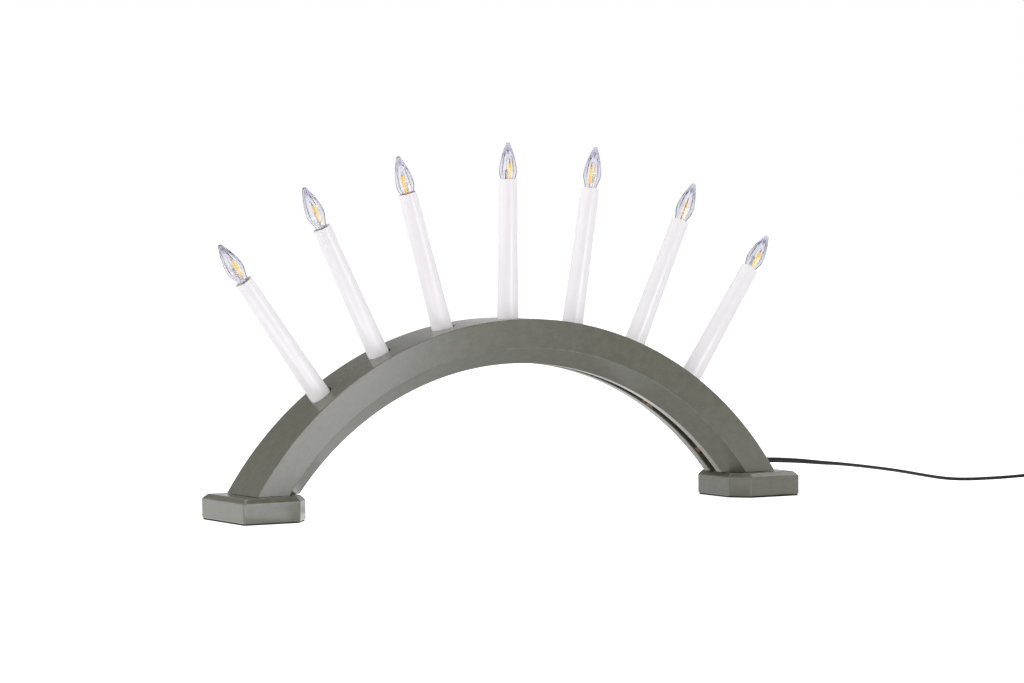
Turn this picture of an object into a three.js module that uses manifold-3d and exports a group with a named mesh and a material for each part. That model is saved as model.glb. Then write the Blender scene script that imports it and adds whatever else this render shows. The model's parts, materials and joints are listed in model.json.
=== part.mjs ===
// Electric candle arch: a wooden arch on two feet, seven candle lights and a mains lead.
// Sizes are in millimetres, with +Z up and the front towards -Y.
// The origin lies on the table, under the middle of the arch.

import * as THREE from 'three';
import { ConvexGeometry } from 'three/addons/geometries/ConvexGeometry.js';
import { mergeVertices } from 'three/addons/utils/BufferGeometryUtils.js';
import Module from 'manifold-3d';

// Clearances
const touchGap = 0.3;
const holderGap = 0.4;
const glassGap = 0.45;
const threadGap = 0.6;
const tubeGap = 0.6;
const wireGap = 0.6;
const tieGap = 0.6;

// Wooden arch
const archRadius = 300;
const archHeight = 162.2;
const archDepth = 57.6;
const archFaceWidth = 24.8;
const chamferRise = 13.5;
const chamferRun = 14.7;
const grooveWidth = 10.6;
const grooveDepth = 12;

// Feet and their felt pads
const footLength = 64.2;
const footDepth = 82.6;
const footHeight = 20.6;
const footReach = 17.8;
const footBevel = 3.8;
const footEase = 0.8;
const footCutLength = 13;
const footCutDepth = 16.2;
const padThickness = 1;
const padInset = 1.5;

// Foot screws, driven up from below
const screwDiameter = 4;
const screwLength = 36;
const screwPoint = 4;
const screwHeadDiameter = 8;
const screwHeadHeight = 3;
const screwRecess = 5;
const screwSpacing = 28;
const screwInset = 25.5;

// Candle tubes: each stands in its own hole, which leans a little off the arch's radius
const candlePitch = 12.35;
const candleShift = 0.1;
const candleLeans = [1.2, -1.4, -3.4, 0.6, -3.2, -0.4, -3.4];
const tubeLength = 131;
const tubeTaper = 3.2;
const tubeWall = 0.9;
const tubeSeatDepth = 12;

// Screw bulbs: each is seated a little higher or lower in its tube
const bulbRaises = [6.6, 6.4, 1.3, 0.1, 4.9, 4.9, 3.3];
const glassHeight = 37.6;
const glassNeckDiameter = 9.8;
const glassBellyDiameter = 16.2;
const glassBellyHeight = 13.8;
const glassTipDiameter = 5;
const glassBulge = 1.6;
const glassWall = 0.8;
const fluteCount = 10;
const fluteDepth = 0.6;
const baseDiameter = 9.6;
const threadPitch = 1.8;
const threadDepth = 0.5;
const threadTurns = 4;
const baseCollar = 2;
const insulatorHeight = 2.4;
const contactDiameter = 3.2;
const contactHeight = 1.2;
const stickDiameter = 2.1;
const stickLength = 17.6;
const stickStart = 4;
const stickOffset = 1.3;
const stickTurns = [-30, 45, 110, -15, 150, 60, -10];
const leadDiameter = 0.8;
const leadLength = 2;

// Lamp holders
const holderWall = 1.05;
const holderFloor = 3;

// Wiring in the groove and the tubes
const wireDiameter = 1.8;
const wireSpread = 2.2;
const wireBend = 6;
const wireStep = 3.5;
const coreSpacing = 2.2;
const coreTurn = 9;

// Mains lead: its bush in the right leg, its free route and its coil
const cordDiameter = 4.2;
const cordExitHeight = 29.6;
const cordStep = 9;
const bushWall = 1.3;
const bushSeat = 14;
const bushTail = 12;
const bushLip = 0.7;
const cordRoute = [
  [258, 0, 29.5],
  [266, 0, 29.35],
  [279, 0, 28.7],
  [300, 0.2, 27],
  [322, 0.5, 24.6],
  [344, 0.8, 22.4],
  [365, 1, 19.8],
  [384, 1.2, 17.1],
  [400, 1.3, 14.7],
  [414, 1.4, 12.3],
  [427, 1.4, 9.9],
  [440, 1.4, 7.5],
  [453, 1.4, 5.3],
  [468, 1.3, 3.5],
  [486, 1.1, 2.5],
  [506, 0.8, 2.3],
  [528, 0.4, 2.5],
  [550, 0.1, 3.1],
  [564, 0, 3.3],
];
const coilStart = 578;
const coilLift = 1.2;
const coilDiameter = 49.8;
const coilTurns = 9;
const coilLayers = 4;
const coilPitch = 4.65;
const tieWidth = 6;
const tieThickness = 0.8;
const tailLength = 46;

// Two-pin plug
const plugWidth = 26;
const plugThickness = 13.6;
const plugCorner = 4;
const plugFaceLength = 12;
const plugLength = 36;
const plugNeckWidth = 9;
const plugSleeveDiameter = 6.4;
const plugSleeveLength = 12;
const pinDiameter = 4;
const pinLength = 19;
const pinSpacing = 18.6;
const pinRound = 1.2;

// Facet counts
const ringSides = 128;
const holeSides = 20;
const tubeSides = 20;
const partSides = 16;
const baseSides = 10;
const screwSides = 12;
const wireSides = 6;
const cordSides = 8;
const coilSides = 6;
const stepsPerLoop = 24;

// Places worked out from the sizes above
const archCentre = archHeight - archRadius;
const creaseRadius = archRadius - archFaceWidth;
const innerRadius = creaseRadius - chamferRise;
const grooveRadius = innerRadius + grooveDepth;
const rimWidth = archDepth - 2 * chamferRun;
const footTop = padThickness + footHeight;
const legBottom = footTop + touchGap;
const legOuter = Math.sqrt(archRadius ** 2 - (legBottom - archCentre) ** 2);
const footOuter = legOuter + footReach;
const footInner = footOuter - footLength;
const screwX = legOuter - screwInset;
const screwSeat = padThickness + screwRecess;

const baseRadius = baseDiameter / 2;
const holderBore = baseRadius + threadGap;
const holderRadius = holderBore + holderWall;
const tubeTopInner = holderRadius + holderGap;
const tubeTopOuter = tubeTopInner + tubeWall;
const tubeBottomOuter = tubeTopOuter + tubeTaper / 2;
const tubeBottomInner = tubeBottomOuter - tubeWall;
const tubeBottom = touchGap - tubeSeatDepth;
const tubeTop = tubeBottom + tubeLength;
const seatRadius = tubeBottomOuter + tubeGap;
const baseLength = contactHeight + insulatorHeight + threadTurns * threadPitch + baseCollar;
const holderBottom = -touchGap - baseLength - touchGap - holderFloor;

const wireRadius = wireDiameter / 2;
const wireLane = grooveWidth / 4;
const wireTrack = innerRadius + grooveDepth / 2;
const wireBore = Math.hypot(wireSpread, wireLane) + wireRadius + wireGap;

const cordRadius = cordDiameter / 2;
const cordLevel = cordExitHeight - archCentre;
const cordMouth = Math.sqrt(archRadius ** 2 - cordLevel ** 2);
const cordInnerEnd = cordMouth - bushSeat;
const trackCrossing = Math.sqrt(wireTrack ** 2 - cordLevel ** 2);
const bushBore = cordRadius + touchGap;
const bushRadius = bushBore + bushWall;
const coilSpread = (coilTurns / coilLayers) * coilPitch;
const coilOuter = coilDiameter / 2 + coilSpread / 2;
const coilInner = coilOuter - coilSpread;
const coilBase = coilLift + cordRadius;
const coilTop = coilBase + (coilLayers - 1) * coilPitch;

// Finishes
function finish(color, roughness, metalness) {
  return new THREE.MeshStandardMaterial({ color, roughness, metalness });
}
const paint = finish(0x74766a, 0.45, 0);
const whitePlastic = finish(0xf0edf0, 0.35, 0);
const glass = finish(0xeef1f4, 0.05, 0);
glass.transparent = true;
glass.opacity = 0.35;
const nickel = finish(0xb8b6b0, 0.25, 1);
const amber = finish(0xf0b040, 0.5, 0);
const holderPlastic = finish(0xd8d6d2, 0.5, 0);
const steel = finish(0x9a9a96, 0.4, 1);
const felt = finish(0x242424, 0.95, 0);
const brownWire = finish(0x3a2a20, 0.5, 0);
const blackPlastic = finish(0x18181b, 0.45, 0);

// Joining and cutting of closed solids
const wasm = await Module();
wasm.setup();

function solidOf(geometry) {
  const bare = geometry.clone();
  bare.deleteAttribute('normal');
  bare.deleteAttribute('uv');
  const merged = mergeVertices(bare);
  const index = merged.index.array;
  const kept = [];
  for (let i = 0; i < index.length; i += 3) {
    const [a, b, c] = index.slice(i, i + 3);
    if (a !== b && b !== c && c !== a) kept.push(a, b, c);
  }
  const vertProperties = new Float32Array(merged.attributes.position.array);
  return new wasm.Manifold(new wasm.Mesh({ numProp: 3, vertProperties, triVerts: new Uint32Array(kept) }));
}

function geometryOf(solid) {
  const mesh = solid.getMesh();
  const geometry = new THREE.BufferGeometry();
  geometry.setAttribute('position', new THREE.BufferAttribute(mesh.vertProperties, 3));
  geometry.setIndex(new THREE.BufferAttribute(mesh.triVerts, 1));
  geometry.computeVertexNormals();
  return geometry;
}

function cutAll(geometry, cutters) {
  let solid = solidOf(geometry);
  for (const cutter of cutters) solid = solid.subtract(solidOf(cutter));
  return geometryOf(solid);
}

// An outline of [radius, height] pairs turned about the Z axis
function turned(outline, sides) {
  const points = outline.map(([radius, height]) => new THREE.Vector2(radius, height));
  return new THREE.LatheGeometry(points, sides).rotateX(Math.PI / 2);
}

// A round hole cutter along Z, from one height to another
function holeCutter(radius, low, high, sides) {
  return turned([[0, low], [radius, low], [radius, high], [0, high]], sides);
}

// A round section for tubes
function roundSection(radius, sides) {
  const corner = (k) => {
    const angle = (2 * Math.PI * k) / sides;
    return new THREE.Vector2(radius * Math.cos(angle), radius * Math.sin(angle));
  };
  return new THREE.Shape(Array.from({ length: sides }, (_, k) => corner(k)));
}

// A path that steps from one given point to the next
class StationPath extends THREE.Curve {
  constructor(stations) {
    super();
    this.stations = stations;
  }

  getPoint(t, target = new THREE.Vector3()) {
    const place = t * (this.stations.length - 1);
    const low = Math.min(Math.floor(place), this.stations.length - 2);
    return target.lerpVectors(this.stations[low], this.stations[low + 1], place - low);
  }

  getPointAt(u, target) {
    return this.getPoint(u, target);
  }

  getTangentAt(u, target = new THREE.Vector3()) {
    const last = this.stations.length - 1;
    const place = Math.round(u * last);
    const before = this.stations[Math.max(place - 1, 0)];
    const after = this.stations[Math.min(place + 1, last)];
    return target.subVectors(after, before).normalize();
  }
}

function tubeThrough(stations, radius, sides) {
  const options = { steps: stations.length - 1, bevelEnabled: false, extrudePath: new StationPath(stations) };
  return new THREE.ExtrudeGeometry(roundSection(radius, sides), options);
}

// The whole object, filled piece by piece
const candleArch = new THREE.Group();

function addPiece(name, geometry, material, parent = candleArch) {
  const mesh = new THREE.Mesh(geometry, material);
  mesh.name = name;
  parent.add(mesh);
  return mesh;
}

// Candle frames: x along the arch, y to the back, z up the candle from the arch's outer surface
const candles = candleLeans.map((lean, index) => {
  const place = index - (candleLeans.length - 1) / 2;
  const angle = THREE.MathUtils.degToRad(place * candlePitch + candleShift);
  const frame = new THREE.Group();
  frame.position.set(archRadius * Math.sin(angle), 0, archCentre + archRadius * Math.cos(angle));
  frame.rotation.y = angle + THREE.MathUtils.degToRad(lean);
  frame.updateMatrix();
  candleArch.add(frame);
  return frame;
});

// Arch: a turned ring with a grooved inner rim, cut off flat above the feet
function archGeometry() {
  const half = archDepth / 2;
  const profile = [
    [archRadius, -half],
    [archRadius, half],
    [creaseRadius, half],
    [innerRadius, rimWidth / 2],
    [innerRadius, grooveWidth / 2],
    [grooveRadius, grooveWidth / 2],
    [grooveRadius, -grooveWidth / 2],
    [innerRadius, -grooveWidth / 2],
    [innerRadius, -rimWidth / 2],
    [creaseRadius, -half],
    [archRadius, -half],
  ];
  const points = profile.map(([radius, y]) => new THREE.Vector2(radius, y));
  const ring = new THREE.LatheGeometry(points, ringSides).translate(0, 0, archCentre);
  const below = new THREE.BoxGeometry(3 * archRadius, 3 * archDepth, 3 * archRadius);
  below.translate(0, 0, legBottom - 1.5 * archRadius);
  const cutters = [below];
  for (const frame of candles) {
    const past = tubeSeatDepth + archRadius - innerRadius;
    cutters.push(holeCutter(seatRadius, -tubeSeatDepth, tubeSeatDepth, holeSides).applyMatrix4(frame.matrix));
    cutters.push(holeCutter(wireBore, innerRadius - archRadius, past, holeSides).applyMatrix4(frame.matrix));
  }
  for (const [x, y] of screwPlaces()) {
    const pilot = holeCutter(screwDiameter / 2 + touchGap, 0, screwSeat + screwLength + touchGap, screwSides);
    cutters.push(pilot.translate(x, y, 0));
  }
  const cordHole = holeCutter(bushRadius + touchGap, trackCrossing, cordMouth + archDepth, partSides);
  cutters.push(cordHole.rotateY(Math.PI / 2).translate(0, 0, cordExitHeight));
  return cutAll(ring, cutters);
}

function screwPlaces() {
  const places = [];
  for (const side of [-1, 1]) {
    for (const row of [-1, 1]) places.push([side * screwX, (row * screwSpacing) / 2]);
  }
  return places;
}

// Foot outline seen from above, drawn in from its edges, with the two inner corners cut off
function footOutline(side, inset) {
  const outer = footOuter - inset;
  const inner = footInner + inset;
  const half = footDepth / 2 - inset;
  const shrink = (footCutLength + footCutDepth - Math.hypot(footCutLength, footCutDepth)) * inset;
  const along = footCutLength - shrink / footCutDepth;
  const across = footCutDepth - shrink / footCutLength;
  const corners = [
    [outer, -half],
    [outer, half],
    [inner + along, half],
    [inner, half - across],
    [inner, across - half],
    [inner + along, -half],
  ];
  return corners.map(([x, y]) => [side * x, y]);
}

function footGeometry(side) {
  const levels = [
    [footEase, padThickness],
    [0, padThickness + footEase],
    [0, footTop - footBevel],
    [footBevel, footTop],
  ];
  const points = [];
  for (const [inset, z] of levels) {
    for (const [x, y] of footOutline(side, inset)) points.push(new THREE.Vector3(x, y, z));
  }
  const cutters = [];
  for (const [x, y] of screwPlaces()) {
    if (x * side < 0) continue;
    const shankHole = holeCutter(screwDiameter / 2 + touchGap, 0, footTop + footBevel, screwSides);
    const headHole = holeCutter(screwHeadDiameter / 2 + touchGap, 0, screwSeat, screwSides);
    cutters.push(shankHole.translate(x, y, 0), headHole.translate(x, y, 0));
  }
  return cutAll(new ConvexGeometry(points), cutters);
}

function padGeometry(side) {
  const points = footOutline(side, padInset).map(([x, y]) => new THREE.Vector2(x, y));
  const depth = padThickness - touchGap / 2;
  return new THREE.ExtrudeGeometry(new THREE.Shape(points), { depth, bevelEnabled: false });
}

function screwGeometry() {
  const shank = screwDiameter / 2;
  const head = screwHeadDiameter / 2;
  const under = screwSeat - touchGap;
  const tip = screwSeat + screwLength;
  const outline = [[0, under - screwHeadHeight], [head, under - screwHeadHeight], [head, under]];
  outline.push([shank, under], [shank, tip - screwPoint], [0, tip]);
  return turned(outline, screwSides);
}

// Candle tube: open at both ends, narrowing upwards
function tubeGeometry() {
  const outline = [
    [tubeBottomInner, tubeBottom],
    [tubeBottomOuter, tubeBottom],
    [tubeTopOuter, tubeTop],
    [tubeTopInner, tubeTop],
    [tubeBottomInner, tubeBottom],
  ];
  return turned(outline, tubeSides);
}

// Bulb glass: a fluted flame, measured from the lower edge of its neck
const neckRadius = glassNeckDiameter / 2;
const bellyRadius = glassBellyDiameter / 2;
const tipRadius = glassTipDiameter / 2;
const tipCentre = glassHeight - tipRadius;

function flameRadius(height) {
  if (height < glassBellyHeight) {
    const rise = Math.sin((Math.PI / 2) * (height / glassBellyHeight)) ** 2;
    return neckRadius + (bellyRadius - neckRadius) * rise;
  }
  const along = (height - glassBellyHeight) / (tipCentre - glassBellyHeight);
  if (along < 1) return bellyRadius + (tipRadius - bellyRadius) * along ** glassBulge;
  return Math.sqrt(Math.max(tipRadius ** 2 - (height - tipCentre) ** 2, 0));
}

// How far the glass sinks into its tube: down to where the flame is as wide as the rim allows
const sinkRatio = (tubeTopInner - glassGap - neckRadius) / (bellyRadius - neckRadius);
const sinkTurn = Math.asin(Math.sqrt(THREE.MathUtils.clamp(sinkRatio, 0, 1)));
const glassSink = (glassBellyHeight * 2 * sinkTurn) / Math.PI;

function fluted(geometry) {
  const position = geometry.attributes.position;
  for (let i = 0; i < position.count; i += 1) {
    const x = position.getX(i);
    const y = position.getY(i);
    const z = position.getZ(i);
    const radius = Math.hypot(x, y);
    const fade = Math.min(1, z / glassBellyHeight, (glassHeight - z) / glassTipDiameter);
    const dip = (fluteDepth * fade * (1 - Math.cos(fluteCount * Math.atan2(x, y)))) / 2;
    if (radius > dip) position.setXY(i, (x * (radius - dip)) / radius, (y * (radius - dip)) / radius);
  }
  return geometry;
}

function glassGeometry() {
  const tipTurn = tipRadius * Math.SQRT1_2;
  const cone = tipCentre - glassBellyHeight;
  const rows = [0, glassBellyHeight / 3, (2 * glassBellyHeight) / 3, glassBellyHeight];
  rows.push(glassBellyHeight + cone / 3, glassBellyHeight + (2 * cone) / 3, tipCentre, tipCentre + tipTurn);
  const outline = [[0, 0], ...rows.map((z) => [flameRadius(z), z]), [0, glassHeight]];
  const skin = glassWall + fluteDepth;
  const levels = [0, glassBellyHeight / 2, glassBellyHeight, tipCentre];
  const inside = levels.map((z) => [flameRadius(z) - skin, z]);
  const mouth = neckRadius - glassWall;
  const hollow = [[0, -skin], [mouth, -skin], [mouth, 0], ...inside.slice(1), [0, tipCentre]];
  return cutAll(fluted(turned(outline, 2 * fluteCount)), [turned(hollow, fluteCount)]);
}

// Bulb base: contact, insulator, screw thread and collar, ending just under the glass
function baseGeometry() {
  const bottom = -touchGap - baseLength;
  const shell = bottom + contactHeight + insulatorHeight;
  const root = baseRadius - threadDepth;
  const outline = [[0, bottom], [contactDiameter / 2, bottom], [contactDiameter / 2, bottom + contactHeight]];
  for (let turn = 0; turn < threadTurns; turn += 1) {
    outline.push([root, shell + turn * threadPitch], [baseRadius, shell + (turn + 0.5) * threadPitch]);
  }
  const thread = shell + threadTurns * threadPitch;
  outline.push([root, thread], [baseRadius, thread], [baseRadius, -touchGap], [0, -touchGap]);
  return turned(outline, baseSides);
}

function filamentGeometry() {
  const lead = leadDiameter / 2;
  const stick = stickDiameter / 2;
  const stickEnd = stickStart + stickLength;
  const outline = [[0, 0], [lead, 0], [lead, stickStart], [stick, stickStart], [stick, stickEnd]];
  outline.push([lead, stickEnd], [lead, stickEnd + leadLength], [0, stickEnd + leadLength]);
  return turned(outline, wireSides);
}

function holderGeometry() {
  const floor = holderBottom + holderFloor;
  const outline = [[0, holderBottom], [holderRadius, holderBottom], [holderRadius, -touchGap]];
  outline.push([holderBore, -touchGap], [holderBore, floor], [0, floor]);
  return turned(outline, partSides);
}

// Wiring: runs down from a lamp holder, bends into the groove and follows the arch
const bulbSeat = (index) => tubeTop - glassSink + bulbRaises[index];

function archPoint(radius, angle, y) {
  return new THREE.Vector3(radius * Math.sin(angle), y, archCentre + radius * Math.cos(angle));
}

function archAngle(point) {
  return Math.atan2(point.x, point.z - archCentre);
}

function wireDrop(index, x, y, direction) {
  const inCandle = (z) => new THREE.Vector3(x, y, z).applyMatrix4(candles[index].matrix);
  const bendTop = inCandle(wireTrack + wireBend - archRadius);
  const stations = [inCandle(bulbSeat(index) + holderBottom - touchGap), inCandle(tubeBottom), bendTop];
  const start = archAngle(bendTop);
  for (const part of [1 / 3, 2 / 3, 1]) {
    const turn = (part * Math.PI) / 2;
    const radius = wireTrack + wireBend * (1 - Math.sin(turn));
    stations.push(archPoint(radius, start + (direction * wireBend * (1 - Math.cos(turn))) / wireTrack, y));
  }
  return stations;
}

function wireRun(from, to, y) {
  const first = archAngle(from);
  const last = archAngle(to);
  const count = Math.ceil(Math.abs(last - first) / THREE.MathUtils.degToRad(wireStep));
  const between = Array.from({ length: count - 1 }, (_, k) => first + ((last - first) * (k + 1)) / count);
  return between.map((angle) => archPoint(wireTrack, angle, y));
}

function linkWire(index) {
  const down = wireDrop(index, wireSpread, -wireLane, 1);
  const up = wireDrop(index + 1, -wireSpread, -wireLane, -1).reverse();
  return [...down, ...wireRun(down.at(-1), up[0], -wireLane), ...up];
}

// A wire from a lamp holder to the end of the mains lead in the right leg
function leadWire(index, x, y) {
  const core = (Math.sign(y) * coreSpacing) / 2;
  const corner = new THREE.Vector3(trackCrossing, (y + core) / 2, cordExitHeight);
  const turnStart = archPoint(wireTrack, archAngle(corner) - coreTurn / wireTrack, y);
  const turnEnd = new THREE.Vector3(trackCrossing + coreTurn, core, cordExitHeight);
  const turn = new THREE.QuadraticBezierCurve3(turnStart, corner, turnEnd).getPoints(4);
  const end = new THREE.Vector3(cordInnerEnd - touchGap, core, cordExitHeight);
  const down = wireDrop(index, x, y, 1);
  return [...down, ...wireRun(down.at(-1), turnStart, y), ...turn, end];
}

// Bush: a sleeve in the leg with a tapered tail outside it
function bushGeometry() {
  const lip = bushBore + bushLip;
  const outline = [
    [bushBore, cordInnerEnd],
    [bushRadius, cordInnerEnd],
    [bushRadius, cordMouth],
    [lip, cordMouth + bushTail],
    [bushBore, cordMouth + bushTail],
    [bushBore, cordInnerEnd],
  ];
  return turned(outline, partSides).rotateY(Math.PI / 2).translate(0, 0, cordExitHeight);
}

// Mains lead from the bush to its coil
function cordGeometry() {
  const start = [cordInnerEnd, cordMouth].map((x) => new THREE.Vector3(x, 0, cordExitHeight));
  const end = new THREE.Vector3(coilStart - cordDiameter - touchGap, 0, coilBase);
  const route = cordRoute.map(([x, y, z]) => new THREE.Vector3(x, y, z));
  const extrudePath = new THREE.CatmullRomCurve3([...start, ...route, end], false, 'centripetal');
  const steps = Math.round(extrudePath.getLength() / cordStep);
  const section = roundSection(cordRadius, cordSides);
  return new THREE.ExtrudeGeometry(section, { steps, bevelEnabled: false, extrudePath });
}

// Coil: the lead spirals in and out, and climbs a layer in the half turn where it reverses
function coilStations() {
  const steps = Math.round(coilTurns * stepsPerLoop);
  const layerSteps = steps / coilLayers;
  const climbSteps = stepsPerLoop / 2;
  const centre = new THREE.Vector2(coilStart, -coilOuter);
  const stations = [];
  for (let step = 0; step <= steps; step += 1) {
    const angle = Math.PI / 2 - (2 * Math.PI * step) / stepsPerLoop;
    const layer = step / layerSteps;
    const inward = Math.abs((layer % 2) - 1);
    const radius = coilInner + coilSpread * inward;
    let z = coilBase;
    for (let next = 1; next < coilLayers; next += 1) {
      const climb = (step - next * layerSteps) / climbSteps + 0.5;
      z += coilPitch * THREE.MathUtils.smoothstep(climb, 0, 1);
    }
    const x = centre.x + radius * Math.cos(angle);
    stations.push(new THREE.Vector3(x, centre.y + radius * Math.sin(angle), z));
  }
  return stations;
}

function leastCoilGap(stations) {
  let least = Infinity;
  for (let i = 0; i < stations.length; i += 1) {
    for (let j = i + stepsPerLoop / 2; j < stations.length; j += 1) {
      least = Math.min(least, stations[i].distanceTo(stations[j]) - cordDiameter);
    }
  }
  return least;
}

const coilTurning = coilStations();
console.log(`cord coil: least gap between turns ${leastCoilGap(coilTurning).toFixed(2)} mm`);
const coilEnd = coilTurning.at(-1).clone();
const coilLeadIn = coilTurning[0].clone().add(new THREE.Vector3(-cordDiameter, 0, 0));
const coilLeadOut = coilEnd.clone().add(new THREE.Vector3(cordDiameter, 0, 0));

// Tie: a flat band round the bundle of turns, at the coil's near side
function tieGeometry() {
  const inner = coilInner - cordRadius - tieGap;
  const outer = coilOuter + cordRadius + tieGap;
  const low = coilBase - cordRadius - touchGap;
  const high = coilTop + cordRadius + touchGap;
  const box = (grow) => [
    new THREE.Vector2(inner - grow, low - grow),
    new THREE.Vector2(outer + grow, low - grow),
    new THREE.Vector2(outer + grow, high + grow),
    new THREE.Vector2(inner - grow, high + grow),
  ];
  const band = new THREE.Shape(box(tieThickness));
  band.holes.push(new THREE.Path(box(0)));
  const geometry = new THREE.ExtrudeGeometry(band, { depth: tieWidth, bevelEnabled: false });
  const outward = new THREE.Vector3(0, -1, 0);
  const upward = new THREE.Vector3(0, 0, 1);
  const across = new THREE.Vector3(-1, 0, 0);
  geometry.applyMatrix4(new THREE.Matrix4().makeBasis(outward, upward, across));
  return geometry.translate(coilStart + tieWidth / 2, -coilOuter, 0);
}

// Tail: the lead comes down from the top of the coil to the plug
const plugAxis = plugThickness / 2 + touchGap;
const tailStart = coilLeadOut.clone().add(new THREE.Vector3(touchGap, 0, 0));
const tailEnd = new THREE.Vector3(tailStart.x + tailLength, tailStart.y, plugAxis);

function tailGeometry() {
  const steps = Math.round(tailLength / cordDiameter);
  const stations = Array.from({ length: steps + 1 }, (_, k) => {
    const z = THREE.MathUtils.lerp(tailStart.z, tailEnd.z, THREE.MathUtils.smoothstep(k / steps, 0, 1));
    return new THREE.Vector3(tailStart.x + (tailLength * k) / steps, tailStart.y, z);
  });
  return tubeThrough(stations, cordRadius, cordSides);
}

// Plug: a flat body with cut corners, tapering to a sleeve on the lead
function plugSection(width, thickness, corner, z) {
  const x = width / 2;
  const y = thickness / 2;
  const half = [[x, corner - y], [x, y - corner], [x - corner, y], [corner - x, y]];
  return [...half, ...half.map(([a, b]) => [-a, -b])].map(([a, b]) => new THREE.Vector3(a, b, z));
}

function plugGeometry() {
  const faceEnd = plugSleeveLength + plugLength;
  const neckCorner = plugNeckWidth / 4;
  const body = new ConvexGeometry([
    ...plugSection(plugWidth, plugThickness, plugCorner, faceEnd),
    ...plugSection(plugWidth, plugThickness, plugCorner, faceEnd - plugFaceLength),
    ...plugSection(plugNeckWidth, plugNeckWidth, neckCorner, plugSleeveLength),
  ]);
  const sleeve = holeCutter(plugSleeveDiameter / 2, 0, plugSleeveLength + plugNeckWidth, partSides);
  return geometryOf(solidOf(body).add(solidOf(sleeve)));
}

function pinGeometry() {
  const radius = pinDiameter / 2;
  const foot = plugSleeveLength + plugLength + touchGap;
  const tip = foot + pinLength;
  const outline = [[0, foot], [radius, foot], [radius, tip - pinRound], [radius - pinRound, tip], [0, tip]];
  return turned(outline, partSides);
}

// Assembly: woodwork
addPiece('arch', archGeometry(), paint);
for (const [side, name] of [[-1, 'left'], [1, 'right']]) {
  addPiece(`foot_${name}`, footGeometry(side), paint);
  addPiece(`felt_pad_${name}`, padGeometry(side), felt);
}
const screw = screwGeometry();
screwPlaces().forEach(([x, y], index) => {
  addPiece(`foot_screw_${index + 1}`, screw, steel).position.set(x, y, 0);
});

// Assembly: seven candles
const tube = tubeGeometry();
const flame = glassGeometry();
const base = baseGeometry();
const filament = filamentGeometry();
const holder = holderGeometry();
candles.forEach((frame, index) => {
  const number = index + 1;
  addPiece(`candle_tube_${number}`, tube, whitePlastic, frame);
  const bulb = new THREE.Group();
  bulb.position.z = bulbSeat(index);
  frame.add(bulb);
  addPiece(`lamp_holder_${number}`, holder, holderPlastic, bulb);
  addPiece(`bulb_base_${number}`, base, nickel, bulb);
  addPiece(`bulb_glass_${number}`, flame, glass, bulb);
  const stickTurn = THREE.MathUtils.degToRad(stickTurns[index]);
  const stick = addPiece(`filament_${number}`, filament, amber, bulb);
  stick.position.set(stickOffset * Math.cos(stickTurn), stickOffset * Math.sin(stickTurn), 0);
});

// Assembly: wiring
const lastCandle = candles.length - 1;
for (let index = 0; index < lastCandle; index += 1) {
  addPiece(`link_wire_${index + 1}`, tubeThrough(linkWire(index), wireRadius, wireSides), brownWire);
}
const supply = leadWire(lastCandle, wireSpread, -wireLane);
addPiece('supply_wire', tubeThrough(supply, wireRadius, wireSides), brownWire);
const back = leadWire(0, -wireSpread, wireLane);
addPiece('return_wire', tubeThrough(back, wireRadius, wireSides), brownWire);

// Assembly: mains lead and plug
addPiece('cord_bush', bushGeometry(), blackPlastic);
addPiece('cord', cordGeometry(), blackPlastic);
const coil = tubeThrough([coilLeadIn, ...coilTurning, coilLeadOut], cordRadius, coilSides);
addPiece('cord_coil', coil, blackPlastic);
addPiece('coil_tie', tieGeometry(), blackPlastic);
addPiece('cord_tail', tailGeometry(), blackPlastic);
const plug = new THREE.Group();
plug.position.set(tailEnd.x + touchGap, tailEnd.y, plugAxis);
plug.rotation.set(Math.PI / 2, Math.PI / 2, 0);
candleArch.add(plug);
addPiece('plug_body', plugGeometry(), blackPlastic, plug);
const pin = pinGeometry();
addPiece('plug_pin_a', pin, nickel, plug).position.x = -pinSpacing / 2;
addPiece('plug_pin_b', pin, nickel, plug).position.x = pinSpacing / 2;

export default candleArch;
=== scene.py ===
# Electric candle arch: fine shapes, finishes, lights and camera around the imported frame.
# Sizes are in metres, with +Z up and the front towards -Y. Candle 1 is at the left.

import json
from math import acos, atan2, ceil, copysign, cos, hypot, pi, radians, sin, sqrt, tan

import bpy
import bmesh
from mathutils import Matrix, Vector


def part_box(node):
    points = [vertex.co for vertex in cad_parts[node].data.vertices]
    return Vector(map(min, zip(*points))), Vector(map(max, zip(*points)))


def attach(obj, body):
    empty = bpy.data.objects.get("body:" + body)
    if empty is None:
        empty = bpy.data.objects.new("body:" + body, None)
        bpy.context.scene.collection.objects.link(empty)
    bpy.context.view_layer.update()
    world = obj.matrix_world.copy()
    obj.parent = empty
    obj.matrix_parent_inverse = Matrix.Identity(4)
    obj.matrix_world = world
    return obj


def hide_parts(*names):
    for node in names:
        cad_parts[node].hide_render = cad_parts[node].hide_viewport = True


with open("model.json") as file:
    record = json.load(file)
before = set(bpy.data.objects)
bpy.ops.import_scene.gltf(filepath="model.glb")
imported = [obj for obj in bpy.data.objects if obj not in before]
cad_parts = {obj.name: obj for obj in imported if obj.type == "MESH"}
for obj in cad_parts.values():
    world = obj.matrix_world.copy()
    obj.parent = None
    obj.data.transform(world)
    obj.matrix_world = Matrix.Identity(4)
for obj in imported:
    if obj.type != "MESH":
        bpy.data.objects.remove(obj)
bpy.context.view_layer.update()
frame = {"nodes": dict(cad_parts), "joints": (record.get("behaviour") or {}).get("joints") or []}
scene = bpy.context.scene
scene.view_settings.view_transform = "Standard"

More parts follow.
